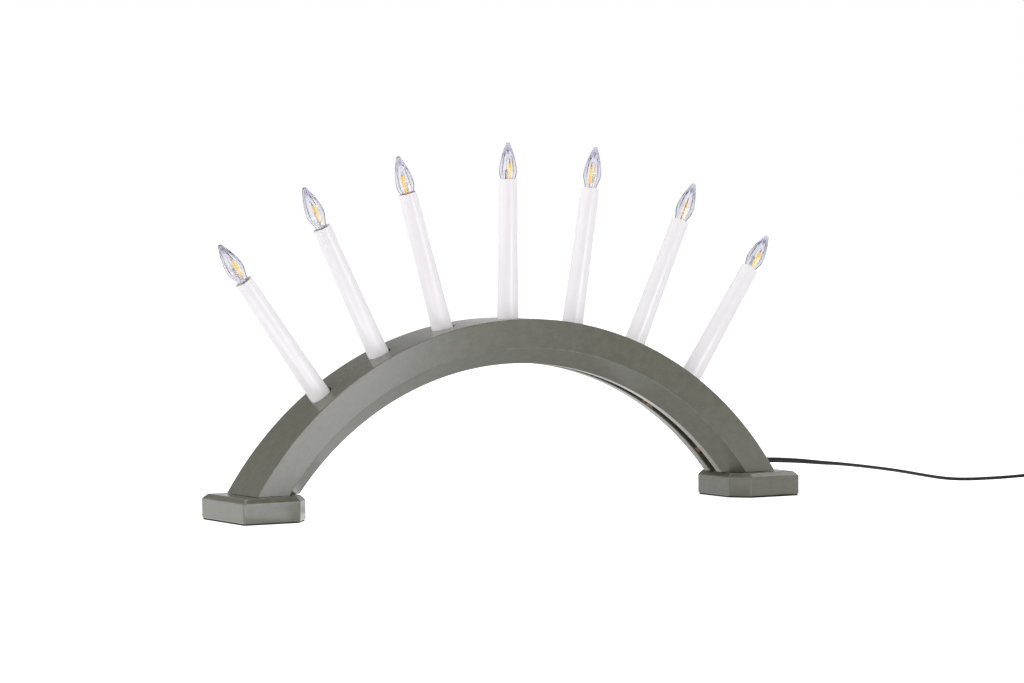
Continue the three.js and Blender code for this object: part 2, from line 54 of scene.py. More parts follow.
# Arch and feet
arch_low, arch_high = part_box("arch")
arch_radius = 0.300
arch_centre = arch_high.z - arch_radius
half_depth = arch_high.y
face_width = 0.0248
chamfer_rise = 0.0135
chamfer_run = 0.0147
groove_width = 0.0106
groove_depth = 0.012
crease_radius = arch_radius - face_width
inner_radius = crease_radius - chamfer_rise
edge_radius = 0.0009
arch_segments = 220
foot_bevel = 0.0038
foot_cut_length = 0.013
foot_cut_depth = 0.0162
foot_corner_radius = 0.0022
foot_edge_radius = 0.0015
foot_under_reach = 0.006
foot_top_reach = 0.012
pad_reach = 0.0010
screw_numbers = range(1, 5)
screw_places = [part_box(f"foot_screw_{number}") for number in screw_numbers]
screw_seat = 0.0033
pilot_radius = 0.0023
block_sharp = 50
touch_gap = 0.0003

# Candles
candle_count = 7
tube_wall = 0.0009
rim_radius = 0.0003
tube_gap = 0.0006
seat_play = 0.0006
seat_reach = 0.03
bore_reach = 0.06
# How far up each tube the painted light near its base reaches
base_light_reach = (-0.112, -0.07)
neck_radius = 0.0049
belly_height = 0.0138
tip_radius = 0.0025
glass_wall = 0.0010
glass_roof = 0.0330
flame_bulge = 1.6
flame_steps = 44
tip_steps = 8
hollow_steps = 40
flute_count = 10
flute_depth = 0.0006
flute_turn = radians(240)
base_radius = 0.0048
thread_pitch = 0.0018
thread_depth = 0.0005
thread_turns = 4
thread_rows = 10
contact_radius = 0.0016
contact_height = 0.0012
insulator_height = 0.0024
stick_radius = 0.00105
stick_start = 0.0040
stick_length = 0.0176
stick_offset = 0.0013
stick_turns = [-30, 45, 110, -15, 150, 60, -10]
stick_shoulder = 0.0004
stick_tip = 0.0012
stick_tip_radius = 0.0005
tip_overlap = 0.0002
stub_length = 0.0022
lead_foot = 0.0004
stem_outline = [(0, 0.0003), (0.0026, 0.0003), (0.0024, 0.0012), (0.0014, 0.0024), (0.0009, 0.0030),
                (0, 0.0032)]
plate_span = (0.0066, 0.0146)
plate_reach = (-0.0026, -0.0002)
plate_thickness = 0.0004
hair_radius = 0.00012
lead_radius = 0.00028
holder_wall = 0.00105
holder_floor = 0.003

# Wiring
wire_radius = 0.0009
wire_spread = 0.0022
wire_lane = groove_width / 4
wire_bend = 0.006
wire_track = inner_radius + groove_depth / 2
wire_steps = (0.25, 0.5, 0.75, 1)
wire_stride = radians(3)
core_spacing = 0.0022
core_turn = 0.009

# Mains lead: a flat oval flex that turns over on its way to the coil
cord_width = 0.0046
cord_thickness = 0.0030
lie_down = (0.035, 0.13)
stand_up = (0.31, 0.345)
cord_exit_height = 0.0296
cord_mouth = sqrt(arch_radius ** 2 - (cord_exit_height - arch_centre) ** 2)
bush_seat = 0.014
bush_tail = 0.012
bush_bore = cord_width / 2 + 0.0002
bush_radius = cord_width / 2 + 0.0017
bush_end_wall = 0.0006
bush_ribs = 4
cord_inner_end = cord_mouth - bush_seat
cord_hole_reach = 0.05
wire_crossing = sqrt(wire_track ** 2 - (cord_exit_height - arch_centre) ** 2)
exit_frame = Matrix.Translation((0, 0, cord_exit_height)) @ Matrix.Rotation(pi / 2, 4, "Y")
cord_route = [
    (0.258, 0, 0.0295), (0.266, 0, 0.02935), (0.279, 0, 0.0287), (0.300, 0.0002, 0.0270),
    (0.322, 0.0005, 0.0246), (0.344, 0.0008, 0.0224), (0.365, 0.0010, 0.0198), (0.384, 0.0012, 0.0171),
    (0.400, 0.0013, 0.0147), (0.414, 0.0014, 0.0123), (0.427, 0.0014, 0.0099), (0.440, 0.0014, 0.0075),
    (0.453, 0.0014, 0.0053), (0.468, 0.0013, 0.0035), (0.486, 0.0011, 0.0025), (0.506, 0.0008, 0.0023),
    (0.528, 0.0004, 0.0025), (0.550, 0.0001, 0.0031), (0.564, 0, 0.0033),
]
coil_start = 0.578
coil_base = 0.0033
coil_diameter = 0.0498
coil_turns = 9
coil_layers = 4
coil_pitch = 0.00465
loop_steps = 24
coil_spread = coil_turns / coil_layers * coil_pitch
coil_outer = coil_diameter / 2 + coil_spread / 2
coil_inner = coil_outer - coil_spread
lead_in = 0.0042
tie_width = 0.006
tie_thickness = 0.0008
tie_corner = 0.0024
plug_low, plug_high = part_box("plug_body")
plug_sleeve = 0.012
plug_face_length = 0.012
plug_neck_width = 0.009
plug_corner = 0.0045
plug_roundness = 0.45
plug_ribs = 5
rib_profile = ((0.0001, 0.0058), (0.0004, 0.0063), (0.0013, 0.0063), (0.0016, 0.0058))
face_profile = ((0, 0.002), (0.0002, 0.0010), (0.0006, 0.0004), (0.0012, 0.0001), (0.0018, 0))
grip_count = 5
grip_depth = 0.0007
grip_steps = 40
pin_radius = 0.002
pin_bare_radius = 0.0019
pin_sleeve = 0.010

# Camera: the photograph's viewpoint and framing
image_width = 1024
focal_pixels = 4048.07
camera_place = Vector((-1.70519, -3.02115, 0.28096))
camera_yaw = 0.51497
camera_pitch = -0.03998
camera_roll = -0.00899


def in_scene(name, data):
    thing = bpy.data.objects.new(name, data)
    scene.collection.objects.link(thing)
    return thing


def make_camera():
    ahead = Vector((sin(camera_yaw) * cos(camera_pitch),
                    cos(camera_yaw) * cos(camera_pitch),
                    sin(camera_pitch)))
    level = Vector((cos(camera_yaw), -sin(camera_yaw), 0))
    upright = level.cross(ahead)
    right = level * cos(camera_roll) + upright * sin(camera_roll)
    up = upright * cos(camera_roll) - level * sin(camera_roll)
    data = bpy.data.cameras.new("camera")
    data.sensor_fit = "HORIZONTAL"
    data.lens = focal_pixels * data.sensor_width / image_width
    data.clip_end = 100
    camera = in_scene("camera", data)
    facing = Matrix((right, up, -ahead)).transposed().to_4x4()
    camera.matrix_world = Matrix.Translation(camera_place) @ facing
    scene.camera = camera


make_camera()


# Shape helpers
def smoothstep(value):
    share = min(max(value, 0), 1)
    return share * share * (3 - 2 * share)


def loft(rings, caps=True, closed=False):
    """Points, faces and band numbers of a skin over rings; a ring of one point closes an end."""
    points, rows = [], []
    for ring in rings:
        rows.append(list(range(len(points), len(points) + len(ring))))
        points.extend(tuple(point) for point in ring)
    faces, bands = [], []
    pairs = list(zip(rows, rows[1:])) + ([(rows[-1], rows[0])] if closed else [])
    for band, (low, high) in enumerate(pairs):
        count = max(len(low), len(high))
        for k in range(count):
            after = (k + 1) % count
            below = [low[k % len(low)], low[after % len(low)]]
            above = [high[after % len(high)], high[k % len(high)]]
            faces.append(tuple(dict.fromkeys(below + above)))
            bands.append(band)
    if caps and not closed:
        for row, band in ((rows[0][::-1], 0), (rows[-1], len(pairs) - 1)):
            if len(row) > 2:
                faces.append(tuple(row))
                bands.append(band)
    return points, faces, bands


def circle(radius, height, sides):
    if radius < 1e-6:
        return [(0, 0, height)]
    turns = [2 * pi * k / sides for k in range(sides)]
    return [(radius * cos(turn), radius * sin(turn), height) for turn in turns]


def turned(outline, sides, closed=False):
    """A skin of revolution about Z from (radius, height) pairs."""
    return loft([circle(radius, height, sides) for radius, height in outline], caps=False, closed=closed)


def stepped(start, steps, sides):
    """A closed round rod along Z from start, its radius changing in steps of (radius, end)."""
    outline = [(0, start)]
    for radius, end in steps:
        outline += [(radius, start), (radius, end)]
        start = end
    return turned([*outline, (0, start)], sides)


def rectangle(left, bottom, right, top):
    return [(left, bottom), (right, bottom), (right, top), (left, top)]


def rounded(corners, radius, steps=4, closed=True):
    """An outline with arcs at its corners, and each point's share of roundness."""
    outline, shares = [], []
    for index, corner in enumerate(corners):
        here = Vector(corner)
        if not closed and index in (0, len(corners) - 1):
            outline.append(tuple(here))
            shares.append(0)
            continue
        before = (Vector(corners[index - 1]) - here).normalized()
        after = (Vector(corners[(index + 1) % len(corners)]) - here).normalized()
        half = before.angle(after) / 2
        centre = here + (before + after).normalized() * radius / sin(half)
        first = here + before * radius / tan(half) - centre
        last = here + after * radius / tan(half) - centre
        for k in range(steps + 1):
            spoke = first.lerp(last, k / steps).normalized() * radius
            outline.append(tuple(centre + spoke))
            shares.append(sin(pi * k / steps))
    return outline, shares


def smooth_through(points, steps):
    """A smooth curve through points, with its speed set by the root of each gap."""
    points = [Vector(point) for point in points]
    ends = [2 * points[0] - points[1], *points, 2 * points[-1] - points[-2]]
    curve = []
    for a, b, c, d in zip(ends, ends[1:], ends[2:], ends[3:]):
        tb = sqrt((b - a).length)
        tc = tb + sqrt((c - b).length)
        td = tc + sqrt((d - c).length)
        for k in range(steps):
            t = tb + (tc - tb) * k / steps
            ab = a.lerp(b, t / tb)
            bc = b.lerp(c, (t - tb) / (tc - tb))
            cd = c.lerp(d, (t - tc) / (td - tc))
            abc = ab.lerp(bc, t / tc)
            bcd = bc.lerp(cd, (t - tb) / (td - tb))
            curve.append(abc.lerp(bcd, (t - tb) / (tc - tb)))
    return [*curve, points[-1]]


def sweep(path, section, across, closed=False):
    """A tube along a path; section(share) gives (sideways, across) pairs, across a fixed direction."""
    rings = []
    last = len(path) - 1
    for k, place in enumerate(path):
        if closed:
            tangent = path[(k + 1) % len(path)] - path[k - 1]
        else:
            tangent = path[min(k + 1, last)] - path[max(k - 1, 0)]
        side = tangent.cross(across).normalized()
        up = side.cross(tangent).normalized()
        rings.append([place + side * a + up * b for a, b in section(k / last)])
    return loft(rings, closed=closed)


def round_section(radius, sides):
    return [(x, y) for x, y, _ in circle(radius, 0, sides)]


def wire(path, radius, sides):
    section = round_section(radius, sides)
    return sweep(path, lambda share: section, Vector((0, 1, 0)))


def make(name, shape, materials, body="stand", stands_for=(), place=Matrix(),
         bands=None, sharp=35):
    """A piece with smooth shading, riding on a body; bands picks a material for each band of a loft."""
    points, faces, numbers = shape
    mesh = bpy.data.meshes.new(name)
    mesh.from_pydata(points, [], faces)
    for material in materials:
        mesh.materials.append(material)
    if bands:
        mesh.polygons.foreach_set("material_index", [bands[number] for number in numbers])
    tidy = bmesh.new()
    tidy.from_mesh(mesh)
    bmesh.ops.recalc_face_normals(tidy, faces=tidy.faces)
    tidy.to_mesh(mesh)
    tidy.free()
    mesh.shade_smooth()
    mesh.set_sharp_from_angle(angle=radians(sharp))
    piece = in_scene(name, mesh)
    piece.matrix_world = place
    if body:
        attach(piece, body)
        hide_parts(*stands_for)
    return piece


def joined(shapes):
    """Several shapes as one, with each shape's number as its band."""
    points, faces, bands = [], [], []
    for number, (more, skin, _) in enumerate(shapes):
        faces += [tuple(index + len(points) for index in face) for face in skin]
        bands += [number] * len(skin)
        points += more
    return points, faces, bands


def moved(shape, matrix):
    points, faces, bands = shape
    return [tuple(matrix @ Vector(point)) for point in points], faces, bands


def cut(piece, shapes, material):
    """Takes closed shapes out of a piece, keeps its flats flat and gives new faces the material."""
    cutter = make("cutter", joined(shapes), [material], body=None)
    knife = piece.modifiers.new("cut", "BOOLEAN")
    knife.object = cutter
    knife.solver = "EXACT"
    knife.material_mode = "TRANSFER"
    bpy.context.view_layer.update()
    graph = bpy.context.evaluated_depsgraph_get()
    mesh = bpy.data.meshes.new_from_object(piece.evaluated_get(graph))
    mesh.set_sharp_from_angle(angle=radians(block_sharp))
    piece.modifiers.clear()
    piece.data = mesh
    bpy.data.objects.remove(cutter)
    piece.modifiers.new("flat", "WEIGHTED_NORMAL").keep_sharp = True


def mark_edges(piece, shares):
    """Keeps how rounded each point's place is, for wear and a painted highlight along the edges."""
    layer = piece.data.attributes.new("edge", "FLOAT", "POINT")
    layer.data.foreach_set("value", shares)


# Material helpers
noise_range = (0.3, 0.7)


def add(tree, kind, inputs, **settings):
    node = tree.nodes.new(f"ShaderNode{kind}")
    for name, value in settings.items():
        setattr(node, name, value)
    for name, value in inputs.items():
        if isinstance(value, bpy.types.NodeSocket):
            tree.links.new(value, node.inputs[name])
        else:
            node.inputs[name].default_value = value
    return node


def maths(tree, operation, *values):
    return add(tree, "Math", dict(enumerate(values)), operation=operation).outputs[0]


def mapped(tree, value, source, target, **settings):
    """A number that follows a value from one range into another."""
    low, high = source
    first, last = target
    inputs = {"Value": value, "From Min": low, "From Max": high, "To Min": first, "To Max": last}
    return add(tree, "MapRange", inputs, **settings).outputs["Result"]


def noise(tree, vector, scale, detail=3, stretch=(1, 1, 1)):
    placed = add(tree, "Mapping", {"Vector": vector, "Scale": stretch})
    settings = {"Vector": placed.outputs["Vector"], "Scale": scale, "Detail": detail}
    return add(tree, "TexNoise", settings).outputs["Fac"]


def ramp(tree, factor, stops):
    node = add(tree, "ValToRGB", {"Fac": factor})
    elements = node.color_ramp.elements
    while len(elements) < len(stops):
        elements.new(0.5)
    for element, (position, colour) in zip(elements, stops):
        element.position = position
        element.color = (*colour, 1)
    return node.outputs["Color"]


def between(tree, factor, low, high):
    """A number that follows a texture's factor between two values."""
    return mapped(tree, factor, noise_range, (low, high))


def bump(tree, height, depth, strength, normal=None):
    settings = {"Height": height, "Distance": depth, "Strength": strength}
    if normal:
        settings["Normal"] = normal
    return add(tree, "Bump", settings).outputs["Normal"]


def mix(tree, factor, low, high):
    return add(tree, "Mix", {0: factor, 6: low, 7: high}, data_type="RGBA").outputs[2]


def new_material(name, settings):
    """A material with its tree, its shader and its object coordinates."""
    material = bpy.data.materials.new(name)
    material.use_nodes = True
    tree = material.node_tree
    shader = tree.nodes["Principled BSDF"]
    for socket, value in settings.items():
        shader.inputs[socket].default_value = value
    place = add(tree, "TexCoord", {}).outputs["Object"]
    return material, tree, shader, place


def link(tree, node, **sockets):
    for name, value in sockets.items():
        tree.links.new(value, node.inputs[name.replace("_", " ")])


# Paint over wood: faint grain under a satin coat, lighter along its edges, partly from wear and partly as
# a painted highlight
paint_dark = (0.098, 0.100, 0.073)
paint_light = (0.130, 0.131, 0.098)
paint_deep = (0.083, 0.085, 0.061)
edge_wear_and_highlight = (0.22, 0.22, 0.20)


def along_arch(tree, place):
    """Coordinates that follow the arch: along it, out from its centre, and across it."""
    parts = add(tree, "SeparateXYZ", {"Vector": place}).outputs
    rise = maths(tree, "SUBTRACT", parts["Z"], arch_centre)
    turn = maths(tree, "ARCTAN2", parts["X"], rise)
    run = maths(tree, "MULTIPLY", turn, arch_radius)
    squares = [maths(tree, "POWER", value, 2) for value in (parts["X"], rise)]
    reach = maths(tree, "SQRT", maths(tree, "ADD", *squares))
    return add(tree, "CombineXYZ", {"X": run, "Y": reach, "Z": parts["Y"]}).outputs["Vector"]


def painted_wood(name, bent):
    material, tree, shader, place = new_material(name, {"IOR": 1.5})
    grain_place = along_arch(tree, place) if bent else place
    mottle = noise(tree, place, 160, 4)
    grain = noise(tree, grain_place, 900, 4, stretch=(0.05, 1, 1))
    peel = noise(tree, place, 1100)
    edge = add(tree, "Attribute", {}, attribute_name="edge").outputs["Fac"]
    # Rounded edges turn lighter: partly wear, partly a painted highlight.
    wear_and_highlight_mask = maths(tree, "MULTIPLY", edge, between(tree, mottle, 0.1, 0.6))
    coat = ramp(tree, mottle, [(0.3, paint_dark), (0.7, paint_light)])
    streaks = mix(tree, between(tree, grain, 0, 0.6), coat, (*paint_light, 1))
    speckled = mix(tree, between(tree, peel, 0, 0.5), streaks, (*paint_deep, 1))
    colour = mix(tree, wear_and_highlight_mask, speckled, (*edge_wear_and_highlight, 1))
    relief = bump(tree, grain, 0.00004, 0.5, bump(tree, peel, 0.00005, 0.5))
    link(tree, shader, Base_Color=colour, Roughness=between(tree, mottle, 0.15, 0.20), Normal=relief)
    return material


def raw_wood():
    """Stained wood under dark overspray that is partly painted shade of the groove, rubbed through to
    light wood in a few places.
    """
    material, tree, shader, place = new_material("raw_wood", {"IOR": 1.4, "Roughness": 0.8})
    grain_place = along_arch(tree, place)
    streaks = noise(tree, grain_place, 500, 4, stretch=(0.08, 1, 1))
    spray_and_shade_mask = noise(tree, place, 130)
    bare = noise(tree, place, 90, 2)
    stain = ramp(tree, streaks, [(0.35, (0.09, 0.08, 0.04)), (0.65, (0.28, 0.25, 0.11))])
    # Painted shade in part: the near-black overspray is darker than the coat and stands in for the shade
    # in the groove.
    spray_and_shade = mix(tree, between(tree, spray_and_shade_mask, 0.55, 1), stain, (0.03, 0.028, 0.02, 1))
    rubbed = ramp(tree, bare, [(0.63, (0, 0, 0)), (0.70, (1, 1, 1))])
    colour = mix(tree, rubbed, spray_and_shade, (0.62, 0.30, 0.18, 1))
    link(tree, shader, Base_Color=colour, Normal=bump(tree, streaks, 0.0002, 0.6))
    return material


def white_plastic():
    """A faintly streaked white, painted lighter towards the arch to offset the shade near the tube's base.
    """
    material, tree, shader, place = new_material("candle_plastic", {"IOR": 1.48})
    height = add(tree, "SeparateXYZ", {"Vector": place}).outputs["Z"]
    # Painted light: the white turns lighter near the arch, against the shade that falls there.
    painted_base_light = mapped(tree, height, base_light_reach, (1, 0))
    streaks = noise(tree, place, 700, stretch=(1, 1, 0.01))
    cloud = noise(tree, place, 90)
    tint = ramp(tree, cloud, [(0.3, (0.86, 0.825, 0.85)), (0.7, (0.89, 0.86, 0.885))])
    streaked_white = mix(tree, between(tree, streaks, 0, 0.5), tint, (0.90, 0.885, 0.905, 1))
    colour = mix(tree, painted_base_light, streaked_white, (0.98, 0.95, 0.98, 1))
    relief = bump(tree, streaks, 0.00004, 0.5)
    link(tree, shader, Base_Color=colour, Roughness=between(tree, streaks, 0.26, 0.36), Normal=relief)
    return material


def clear_glass():
    settings = {"Base Color": (1, 1, 1, 1), "Roughness": 0.0, "IOR": 1.47, "Transmission Weight": 1}
    material, tree, shader, place = new_material("flame_glass", settings)
    ripple = noise(tree, place, 120, 2)
    link(tree, shader, Normal=bump(tree, ripple, 0.00002, 0.3))
    tinted = add(tree, "VolumeAbsorption", {"Color": (0.80, 0.79, 0.88, 1), "Density": 400})
    link(tree, tree.nodes["Material Output"], Volume=tinted.outputs["Volume"])
    return material


def plastic(name, dark, light, rough, grain_scale, depth, ior=1.46):
    """A moulded plastic whose tone, gloss and fine relief vary a little."""
    material, tree, shader, place = new_material(name, {"IOR": ior})
    cloud = noise(tree, place, grain_scale / 8)
    fine = noise(tree, place, grain_scale, 2)
    colour = ramp(tree, cloud, [(0.3, dark), (0.7, light)])
    gloss = between(tree, cloud, rough - 0.06, rough + 0.06)
    link(tree, shader, Base_Color=colour, Roughness=gloss, Normal=bump(tree, fine, depth, 0.5))
    return material


# Painted light: an emission in a part's own colour, where the part gives no light of its own.
def painted_glow(material, colour, strength):
    inputs = material.node_tree.nodes["Principled BSDF"].inputs
    inputs["Emission Color"].default_value = (*colour, 1)
    inputs["Emission Strength"].default_value = strength


def wire_sheath():
    """Dark insulation, rubbed to orange-brown in places."""
    material, tree, shader, place = new_material("wire_sheath", {"IOR": 1.46, "Roughness": 0.42})
    rubbed = noise(tree, place, 130, 2)
    fine = noise(tree, place, 1500, 2)
    colour = ramp(tree, rubbed, [(0.52, (0.022, 0.019, 0.010)), (0.60, (0.26, 0.12, 0.06))])
    link(tree, shader, Base_Color=colour, Normal=bump(tree, fine, 0.00002, 0.5))
    return material


def metal(name, dark, light, rough):
    material, tree, shader, place = new_material(name, {"Metallic": 1})
    cloud = noise(tree, place, 900, 4)
    fine = noise(tree, place, 4000, 2, stretch=(1, 1, 0.2))
    colour = ramp(tree, cloud, [(0.3, dark), (0.7, light)])
    gloss = between(tree, cloud, rough - 0.08, rough + 0.08)
    link(tree, shader, Base_Color=colour, Roughness=gloss, Normal=bump(tree, fine, 0.00002, 0.4))
    return material


def felt():
    material, tree, shader, place = new_material("felt", {"Specular IOR Level": 0.1, "Roughness": 0.95})
    fibres = noise(tree, place, 2600, 5)
    colour = ramp(tree, fibres, [(0.3, (0.008, 0.008, 0.008)), (0.7, (0.03, 0.03, 0.031))])
    link(tree, shader, Base_Color=colour, Normal=bump(tree, fibres, 0.0003, 0.8))
    return material


paint_arch = painted_wood("arch_paint", True)
paint_foot = painted_wood("foot_paint", False)
wood = raw_wood()
candle_white = white_plastic()
glass = clear_glass()
holder_plastic = plastic("holder_plastic", (0.74, 0.73, 0.68), (0.80, 0.79, 0.75), 0.5, 1200, 0.00003)
nickel = metal("nickel", (0.70, 0.68, 0.63), (0.84, 0.82, 0.77), 0.42)
steel = metal("screw_steel", (0.35, 0.35, 0.34), (0.5, 0.5, 0.49), 0.38)
lead_metal = metal("lead_metal", (0.30, 0.27, 0.26), (0.42, 0.38, 0.37), 0.35)
plate_grey = plastic("lead_plate", (0.52, 0.47, 0.50), (0.62, 0.57, 0.60), 0.4, 1500, 0.00002)
insulator = plastic("base_insulator", (0.015, 0.015, 0.017), (0.03, 0.03, 0.033), 0.3, 1500, 0.00002)
phosphor = plastic("phosphor", (0.96, 0.56, 0.02), (0.98, 0.66, 0.03), 0.55, 1800, 0.00004)
# Painted glow on the filament coat, making up for light that the glass keeps from it.
painted_glow(phosphor, (1.0, 0.60, 0.02), 0.45)
wire_brown = wire_sheath()
lead_black = plastic("lead_sheath", (0.008, 0.008, 0.011), (0.013, 0.013, 0.017), 0.38, 1600, 0.00003, 1.3)
tie_black = plastic("tie_plastic", (0.010, 0.010, 0.011), (0.018, 0.018, 0.019), 0.5, 1400, 0.00004)
plug_black = plastic("plug_plastic", (0.011, 0.011, 0.013), (0.019, 0.019, 0.021), 0.46, 1300, 0.00005)
felt_black = felt()


# Mains lead, its coil, tie and plug
def coil_points():
    """Turns that spiral in and out again, and climb a layer in the half turn where they reverse."""
    steps = round(coil_turns * loop_steps)
    layer_steps = steps / coil_layers
    points = []
    for step in range(steps + 1):
        turn = pi / 2 - 2 * pi * step / loop_steps
        radius = coil_inner + coil_spread * abs(step / layer_steps % 2 - 1)
        height = coil_base
        for layer in range(1, coil_layers):
            climb = (step - layer * layer_steps) / (loop_steps / 2) + 0.5
            height += coil_pitch * smoothstep(climb)
        points.append((coil_start + radius * cos(turn), radius * sin(turn) - coil_outer, height))
    return points


def lead_points():
    start = [(cord_inner_end, 0, cord_exit_height), (cord_mouth, 0, cord_exit_height)]
    turns = coil_points()
    end = Vector(turns[-1])
    plug_axis = (plug_low.z + plug_high.z) / 2
    leave = end.x + lead_in
    tail = []
    for share in (0, 0.2, 0.4, 0.6, 0.8, 1):
        drop = (plug_axis - end.z) * smoothstep(share)
        tail.append((leave + (plug_low.x - leave) * share, end.y, end.z + drop))
    tail.append((plug_low.x + plug_sleeve / 2, end.y, plug_axis))
    return start + cord_route + [(coil_start - lead_in, 0, coil_base)] + turns + tail


lead_path = smooth_through(lead_points(), 4)
lead_lengths = [0]
for near, far in zip(lead_path, lead_path[1:]):
    lead_lengths.append(lead_lengths[-1] + (far - near).length)


def lead_section(share):
    """An oval that stands on edge at the exit, lies flat on the table and stands again in the coil."""
    run = lead_lengths[round(share * (len(lead_path) - 1))]
    flat, stood = (smoothstep((run - start) / (end - start)) for start, end in (lie_down, stand_up))
    flat -= stood
    wide = cord_thickness + (cord_width - cord_thickness) * flat
    tall = cord_width - (cord_width - cord_thickness) * flat
    return [(x * wide / 2, y * tall / 2) for x, y in round_section(1, 16)]


lead_shape = sweep(lead_path, lead_section, Vector((0, 0, 1)))
lead = make("mains_lead", lead_shape, [lead_black],
            stands_for=("cord", "cord_coil", "cord_tail"))


def make_bush():
    """A sleeve round the lead, its ribs thinner towards the free end."""
    outline = [(bush_bore, cord_inner_end), (bush_radius, cord_inner_end), (bush_radius, cord_mouth)]
    thinning = bush_bore + bush_end_wall - bush_radius
    for rib in range(bush_ribs):
        start = cord_mouth + bush_tail * (rib + 0.25) / bush_ribs
        radius = bush_radius + thinning * (rib + 1) / bush_ribs
        for drop, along in ((0, 0), (0, 0.0016), (0.0004, 0.0018), (0.0004, 0.0026)):
            outline.append((radius - drop, start + along))
    end = cord_mouth + bush_tail
    outline += [(bush_bore + touch_gap, end), (bush_bore, end)]
    shape = moved(turned(outline, 40, closed=True), exit_frame)
    make("lead_bush", shape, [plug_black], stands_for=("cord_bush",))


def make_tie():
    low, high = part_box("coil_tie")
    half = tie_thickness / 2
    corners = rectangle(half - high.y, low.z + half, -low.y - half, high.z - half)
    loop, _ = rounded(corners, tie_corner, 6)
    path = [Vector((coil_start, -y, z)) for y, z in loop]
    edge = tie_width / 2
    band, _ = rounded(rectangle(-half, -edge, half, edge), rim_radius, 2)
    shape = sweep(path, lambda share: band, Vector((1, 0, 0)), closed=True)
    return make("lead_tie", shape, [tie_black], stands_for=("coil_tie",))


def along_lead(low, high):
    """The frame of a piece on the end of the lead, with its own Z along +X and its width along Y."""
    turn = Matrix(((0, 0, 1), (1, 0, 0), (0, 1, 0))).to_4x4()
    return Matrix.Translation((low.x, (low.y + high.y) / 2, (low.z + high.z) / 2)) @ turn


def plug_ring(width, thickness, corner, height):
    x, y = width / 2, thickness / 2
    outline, _ = rounded(rectangle(-x, -y, x, y), corner, 6)
    return [(a, b, height) for a, b in outline]


def make_plug():
    """A flat body with rounded edges and finger grooves, tapering to a ribbed sleeve."""
    length = plug_high.x - plug_low.x
    width = plug_high.y - plug_low.y
    thickness = plug_high.z - plug_low.z
    rings = []
    for rib in range(plug_ribs):
        start = plug_sleeve * rib / plug_ribs
        for offset, diameter in rib_profile:
            rings.append(plug_ring(diameter, diameter, diameter * plug_roundness, start + offset))
    taper = length - plug_sleeve - plug_face_length
    for k in range(grip_steps + 1):
        share = k / grip_steps
        swell = smoothstep(share)
        wave = 0.5 - 0.5 * cos(2 * pi * grip_count * share)
        grip = grip_depth * wave * sin(pi * share)
        wide = plug_neck_width + (width - plug_neck_width) * swell
        tall = plug_neck_width + (thickness - plug_neck_width) * swell - 2 * grip
        corner = min(tall * plug_roundness, plug_corner)
        rings.append(plug_ring(wide, tall, corner, plug_sleeve + taper * share))
    for inset, back in face_profile:
        wide = width - 2 * inset
        tall = thickness - 2 * inset
        rings.append(plug_ring(wide, tall, plug_corner - inset, length - back))
    return make("plug_moulding", loft(rings), [plug_black], stands_for=("plug_body",),
                place=along_lead(plug_low, plug_high))


def make_pin(letter):
    low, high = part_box(f"plug_pin_{letter}")
    length = high.x - low.x
    outline = [(0, 0), (pin_radius, 0), (pin_radius, pin_sleeve), (pin_bare_radius, pin_sleeve + 0.0001)]
    for radius, back in ((pin_bare_radius, 0.0016), (0.0016, 0.0007), (0.0009, 0.0002), (0, 0)):
        outline.append((radius, length - back))
    bands = [0, 0] + [1] * (len(outline) - 3)
    return make(f"contact_pin_{letter}", turned(outline, 32), [plug_black, nickel],
                stands_for=(f"plug_pin_{letter}",), place=along_lead(low, high), bands=bands)


make_bush()
tie = make_tie()
plug = make_plug()
pins = [make_pin(letter) for letter in "ab"]


# Candle frames: up the candle from the lower edge of its glass
turns = {joint["child"]: joint for joint in frame["joints"]}
end_slack = 1e-4


def candle_frame(number):
    joint = turns[f"bulb_{number}"]
    up = Vector(joint["axis"]).normalized()
    back = Vector((0, 1, 0))
    matrix = Matrix((back.cross(up), back, up)).transposed().to_4x4()
    matrix.translation = Vector(joint["pos_m"])
    return matrix


def span(node, place):
    """A node's lowest and highest place along a candle, and its radius at both and at most."""
    back = place.inverted()
    spots = [back @ vertex.co for vertex in frame["nodes"][node].data.vertices]
    low = min(spot.z for spot in spots)
    high = max(spot.z for spot in spots)
    foot = [spot for spot in spots if spot.z < low + end_slack]
    top = [spot for spot in spots if spot.z > high - end_slack]
    reaches = [max(hypot(spot.x, spot.y) for spot in group) for group in (foot, top, spots)]
    return low, high, *reaches


candles = [candle_frame(number) for number in range(1, candle_count + 1)]
tubes = [span(f"candle_tube_{number}", place) for number, place in enumerate(candles, 1)]
holders = [span(f"lamp_holder_{number}", place) for number, place in enumerate(candles, 1)]


# Arch: its section swept from foot to foot, with seats for the tubes and bores for the wires
def arch_profile():
    rim = half_depth - chamfer_run
    floor = inner_radius + groove_depth
    half_groove = groove_width / 2
    back = [(arch_radius, half_depth), (crease_radius, half_depth), (inner_radius, rim),
            (inner_radius, half_groove), (floor, half_groove)]
    front = [(radius, -y) for radius, y in back]
    return rounded(back + front[::-1], edge_radius)


def make_arch():
    profile, shares = arch_profile()
    rings = []
    for segment in range(arch_segments + 1):
        ring = []
        for radius, y in profile:
            end = acos((arch_low.z - arch_centre) / radius)
            turn = end * (2 * segment / arch_segments - 1)
            ring.append((radius * sin(turn), y, arch_centre + radius * cos(turn)))
        rings.append(ring)
    arch = make("wood_arch", loft(rings), [paint_arch, wood],
                stands_for=("arch",), sharp=block_sharp)
    mark_edges(arch, shares * len(rings))
    for face in arch.data.polygons:
        reach = hypot(face.center.x, face.center.z - arch_centre)
        inside = abs(face.center.y) < groove_width / 2 + 1e-5
        if inside and inner_radius + edge_radius < reach < inner_radius + groove_depth + end_slack:
            face.material_index = 1
    cut(arch, arch_cutters(), wood)


def over_middle(shape, low, high):
    """A shape moved over the middle of a box."""
    centre = (low + high) / 2
    return moved(shape, Matrix.Translation((centre.x, centre.y, 0)))


